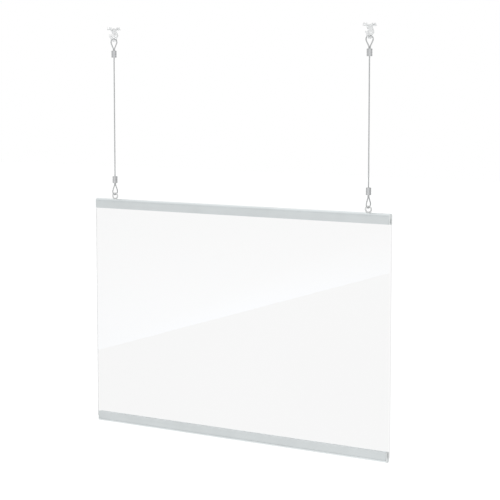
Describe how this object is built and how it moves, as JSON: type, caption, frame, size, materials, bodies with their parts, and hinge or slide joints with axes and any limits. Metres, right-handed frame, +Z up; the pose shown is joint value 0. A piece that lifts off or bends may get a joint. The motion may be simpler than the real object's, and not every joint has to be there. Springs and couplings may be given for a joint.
{
  "type": "hanging sneeze guard",
  "caption": "Clear sheet held between two snap-shut aluminium rails and hung by wire ropes with crimped loops from hooked ceiling grid clips.",
  "frame": {"origin": "centre of the left ceiling clip's seat face, where the ceiling bar's flange rests", "axes": "+X along the rails from the left clip to the right one, +Y to the rear, +Z up"},
  "size_m": [0.9144, 0.0312, 1.059],
  "materials": {
    "rail_aluminium": "satin anodised",
    "cap_plastic": "fine matte moulded",
    "grip_rubber": "matte",
    "sheet_acrylic": "clear polished",
    "clip_plastic": "clear moulded",
    "rope_steel": "galvanised strands",
    "ferrule_metal": "crimped, dull",
    "eye_steel": "nickel plated"
  },
  "bodies": {
    "ceiling_clips": {"left_clip": "clip_plastic", "right_clip": "clip_plastic"},
    "left_upper_end": {"left_upper_loop": "rope_steel", "left_upper_ferrule": "ferrule_metal"},
    "left_rope": {"left_run": "rope_steel"},
    "left_lower_end": {"left_lower_ferrule": "ferrule_metal", "left_lower_loop": "rope_steel"},
    "left_ring": {"left_eye": "eye_steel"},
    "panel": {"top_rail_body": "rail_aluminium", "top_rail_rear_grip": "grip_rubber", "top_rail_left_cap": "cap_plastic", "top_rail_right_cap": "cap_plastic", "clear_sheet": "sheet_acrylic", "bottom_rail_body": "rail_aluminium", "bottom_rail_rear_grip": "grip_rubber", "bottom_rail_left_cap": "cap_plastic", "bottom_rail_right_cap": "cap_plastic"},
    "top_cover": {"top_rail_cover": "rail_aluminium", "top_rail_front_grip": "grip_rubber"},
    "bottom_cover": {"bottom_rail_cover": "rail_aluminium", "bottom_rail_front_grip": "grip_rubber"},
    "right_upper_end": {"right_upper_loop": "rope_steel", "right_upper_ferrule": "ferrule_metal"},
    "right_rope": {"right_run": "rope_steel"},
    "right_lower_end": {"right_lower_ferrule": "ferrule_metal", "right_lower_loop": "rope_steel"},
    "right_ring": {"right_eye": "eye_steel"}
  },
  "joints": [
    {"name": "rope_swing", "type": "hinge", "parent": "ceiling_clips", "child": "left_upper_end", "pos_m": [0, 0, -0.0267], "axis": [1, 0, 0], "range_deg": [-25, 25]},
    {"name": "side_sway", "type": "hinge", "parent": "left_upper_end", "child": "left_rope", "pos_m": [0, 0, -0.076], "axis": [0, 1, 0], "range_deg": [-12, 12]},
    {"name": "left_level", "type": "hinge", "parent": "left_rope", "child": "left_lower_end", "pos_m": [0, 0, -0.3896], "axis": [0, 1, 0], "range_deg": [-12, 12]},
    {"name": "panel_tilt", "type": "hinge", "parent": "left_lower_end", "child": "left_ring", "pos_m": [0, 0, -0.435], "axis": [1, 0, 0], "range_deg": [-30, 30]},
    {"name": "panel_shift", "type": "slide", "parent": "left_ring", "child": "panel", "axis": [1, 0, 0], "range_m": [-0.04, 0.04]},
    {"name": "top_cover_hinge", "type": "hinge", "parent": "panel", "child": "top_cover", "pos_m": [0.392, -0.0044, -0.45765], "axis": [-1, 0, 0], "range_deg": [0, 60]},
    {"name": "bottom_cover_hinge", "type": "hinge", "parent": "panel", "child": "bottom_cover", "pos_m": [0.392, -0.0044, -1.04835], "axis": [1, 0, 0], "range_deg": [0, 60]},
    {"name": "right_swing", "type": "hinge", "parent": "ceiling_clips", "child": "right_upper_end", "pos_m": [0.784, 0, -0.0267], "axis": [1, 0, 0], "range_deg": [-25, 25]},
    {"name": "right_sway", "type": "hinge", "parent": "right_upper_end", "child": "right_rope", "pos_m": [0.784, 0, -0.076], "axis": [0, 1, 0], "range_deg": [-12, 12]},
    {"name": "right_level", "type": "hinge", "parent": "right_rope", "child": "right_lower_end", "pos_m": [0.784, 0, -0.3896], "axis": [0, 1, 0], "range_deg": [-12, 12]},
    {"name": "right_ring_slide", "type": "slide", "parent": "panel", "child": "right_ring", "axis": [1, 0, 0], "range_m": [-0.04, 0.04]}
  ],
  "couplings": [
    {"joint": "left_level", "follows": "side_sway", "ratio": -1},
    {"joint": "right_swing", "follows": "rope_swing", "ratio": 1},
    {"joint": "right_sway", "follows": "side_sway", "ratio": 1},
    {"joint": "right_level", "follows": "side_sway", "ratio": -1},
    {"joint": "right_ring_slide", "follows": "panel_shift", "ratio": -1}
  ]
}
